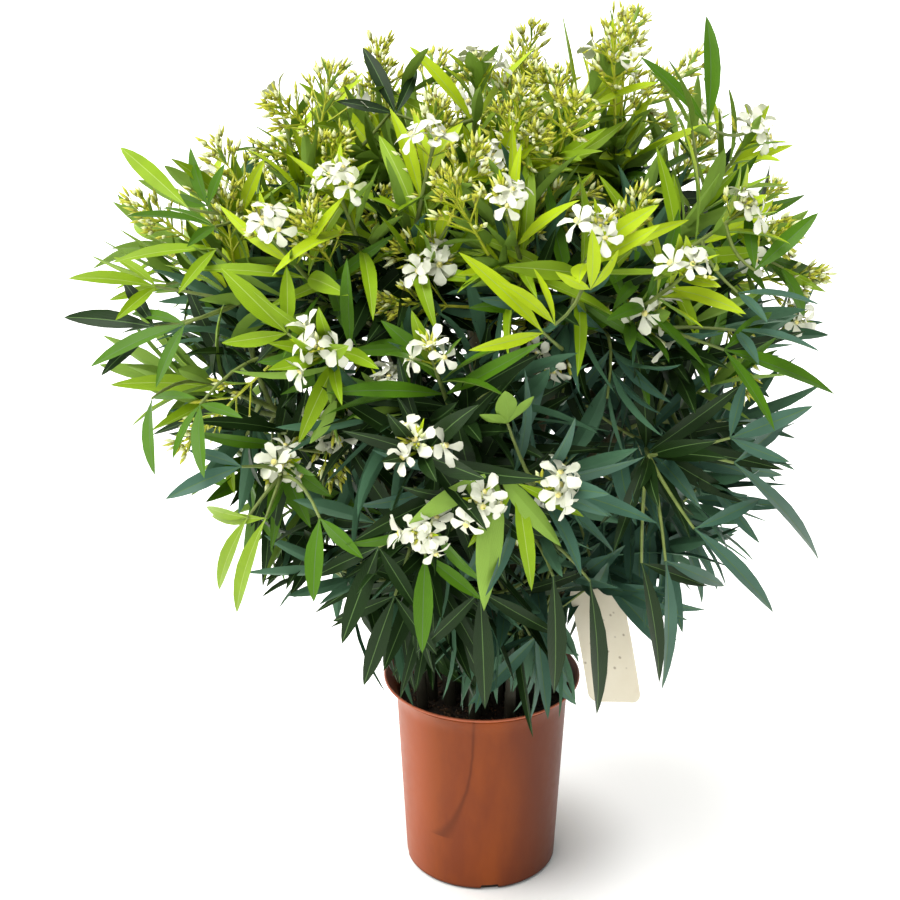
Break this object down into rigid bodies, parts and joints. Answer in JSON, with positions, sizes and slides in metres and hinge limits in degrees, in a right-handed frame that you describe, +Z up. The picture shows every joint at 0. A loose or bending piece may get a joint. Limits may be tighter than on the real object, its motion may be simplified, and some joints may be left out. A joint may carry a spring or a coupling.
{
  "type": "potted oleander",
  "caption": "Bushy flowering oleander with many slender canes, long narrow leaves and white blossom, growing in a round tapered nursery pot with a plain hanging label.",
  "frame": {"origin": "centre of the pot's flat underside", "axes": "+Z up along the pot's axis; the side seen in the picture faces -Y, and +X is to its right"},
  "size_m": [0.9, 0.8409, 1.0679],
  "materials": {
    "pot_plastic": "satin",
    "compost": "rough",
    "bark": "rough",
    "foliage": "satin",
    "label_card": "satin"
  },
  "bodies": {
    "root": {"cane_lower_1": "bark", "cane_lower_2": "bark", "cane_lower_3": "bark", "cane_lower_4": "bark", "cane_lower_5": "bark", "cane_middle_1": "bark", "cane_middle_2": "bark", "cane_middle_3": "bark", "cane_middle_4": "bark", "cane_middle_5": "bark", "cane_middle_6": "bark", "cane_skirt_1": "bark", "cane_skirt_2": "bark", "cane_skirt_3": "bark", "cane_skirt_4": "bark", "cane_upper_1": "bark", "cane_upper_2": "bark", "cane_upper_3": "bark", "cane_upper_4": "bark", "cane_upper_5": "bark", "foliage_lower_1": "foliage", "foliage_lower_2": "foliage", "foliage_lower_3": "foliage", "foliage_lower_4": "foliage", "foliage_lower_5": "foliage", "foliage_middle_1": "foliage", "foliage_middle_2": "foliage", "foliage_middle_3": "foliage", "foliage_middle_4": "foliage", "foliage_middle_5": "foliage", "foliage_middle_6": "foliage", "foliage_skirt_1": "foliage", "foliage_skirt_2": "foliage", "foliage_skirt_3": "foliage", "foliage_skirt_4": "foliage", "foliage_top": "foliage", "foliage_upper_1": "foliage", "foliage_upper_2": "foliage", "foliage_upper_3": "foliage", "foliage_upper_4": "foliage", "foliage_upper_5": "foliage", "label": "label_card", "main_stem": "bark", "pot": "pot_plastic", "soil": "compost"}
  },
  "joints": []
}
